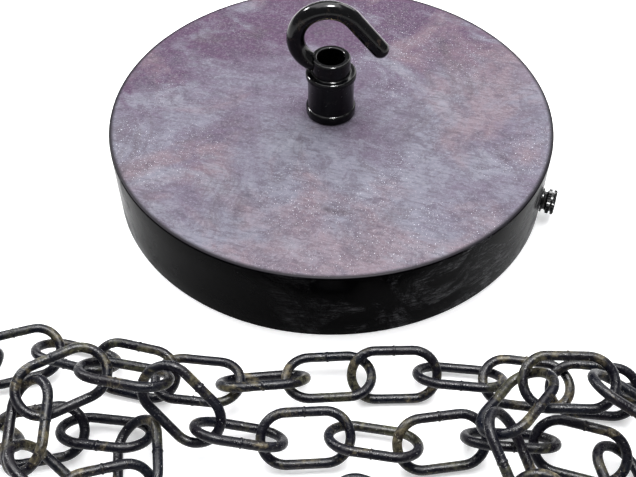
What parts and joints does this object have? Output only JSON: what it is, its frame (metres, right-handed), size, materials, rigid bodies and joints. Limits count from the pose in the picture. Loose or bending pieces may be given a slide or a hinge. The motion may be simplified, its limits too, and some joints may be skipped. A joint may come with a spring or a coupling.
{
  "type": "ceiling rose with hook and chain",
  "caption": "Shallow round metal ceiling rose with a hollow hook fitting, side thumb screws, inner fixing strap and a loose chain of welded links.",
  "frame": {"origin": "middle of the cup's open rim, on the ceiling side, where the axis of the hook fitting meets the plane of the rim and of the strap", "axes": "+Z away from the ceiling along the fitting's axis towards the hook, +X along the line of the two side screws, through the right one, -Y to the side where the loose chain lies"},
  "size_m": [0.2158, 0.2147, 0.0648],
  "materials": {
    "aged_steel": "satin, mottled grey-purple patina",
    "black_steel": "gloss black",
    "chain_steel": "satin blue-black with brassy wear",
    "zinc_steel": "bright zinc plate",
    "brass": "plain turned brass"
  },
  "bodies": {
    "rose": {"canopy_cup": "aged_steel", "mounting_strap": "zinc_steel", "earth_screw": "brass", "earth_washer": "brass"},
    "hook_stem": {"hook_fitting": "black_steel", "hook": "black_steel", "threaded_stem": "brass", "spread_washer": "zinc_steel", "tooth_washer": "zinc_steel", "lock_nut": "brass"},
    "right_screw": {"right_side_screw": "black_steel"},
    "left_screw": {"left_side_screw": "black_steel"},
    "chain": {"chain_link_02": "chain_steel", "chain_link_03": "chain_steel", "chain_link_04": "chain_steel", "chain_link_05": "chain_steel", "chain_link_06": "chain_steel", "chain_link_07": "chain_steel", "chain_link_08": "chain_steel", "chain_link_09": "chain_steel", "chain_link_10": "chain_steel", "chain_link_11": "chain_steel", "chain_link_12": "chain_steel", "chain_link_13": "chain_steel", "chain_link_14": "chain_steel", "chain_link_15": "chain_steel", "chain_link_16": "chain_steel", "chain_link_17": "chain_steel", "chain_link_18": "chain_steel", "chain_link_19": "chain_steel", "chain_link_20": "chain_steel", "chain_link_21": "chain_steel", "chain_link_22": "chain_steel", "chain_link_23": "chain_steel", "chain_link_24": "chain_steel", "chain_link_25": "chain_steel", "chain_link_26": "chain_steel", "chain_link_27": "chain_steel", "chain_link_28": "chain_steel", "chain_link_29": "chain_steel", "chain_link_30": "chain_steel", "chain_link_31": "chain_steel", "chain_link_32": "chain_steel", "chain_link_33": "chain_steel", "chain_link_34": "chain_steel", "chain_link_35": "chain_steel", "chain_link_36": "chain_steel", "chain_link_37": "chain_steel", "chain_link_38": "chain_steel", "chain_link_39": "chain_steel", "chain_link_40": "chain_steel", "chain_link_41": "chain_steel", "chain_link_42": "chain_steel", "chain_link_43": "chain_steel"},
    "first_end_link": {"chain_link_01": "chain_steel"},
    "last_end_link": {"chain_link_44": "chain_steel"}
  },
  "joints": [
    {"name": "hook_swivel", "type": "hinge", "parent": "rose", "child": "hook_stem", "pos_m": [0, 0, 0.025], "axis": [0, 0, 1], "continuous": true},
    {"name": "right_screw_travel", "type": "slide", "parent": "rose", "child": "right_screw", "axis": [1, 0, 0], "range_m": [0, 0.006]},
    {"name": "left_screw_travel", "type": "slide", "parent": "rose", "child": "left_screw", "axis": [-1, 0, 0], "range_m": [0, 0.006]},
    {"name": "chain_lift", "type": "slide", "parent": "rose", "child": "chain", "axis": [0, 0, 1], "range_m": [0, 0.15]},
    {"name": "first_end_link_swing", "type": "hinge", "parent": "chain", "child": "first_end_link", "pos_m": [0.1197, -0.06215, 0.00605], "axis": [-0.0244, -0.9997, 0], "range_deg": [0, 60]},
    {"name": "last_end_link_swing", "type": "hinge", "parent": "chain", "child": "last_end_link", "pos_m": [0.05649, -0.11837, 0.00575], "axis": [0.0698, 0.9976, 0], "range_deg": [0, 50]}
  ]
}
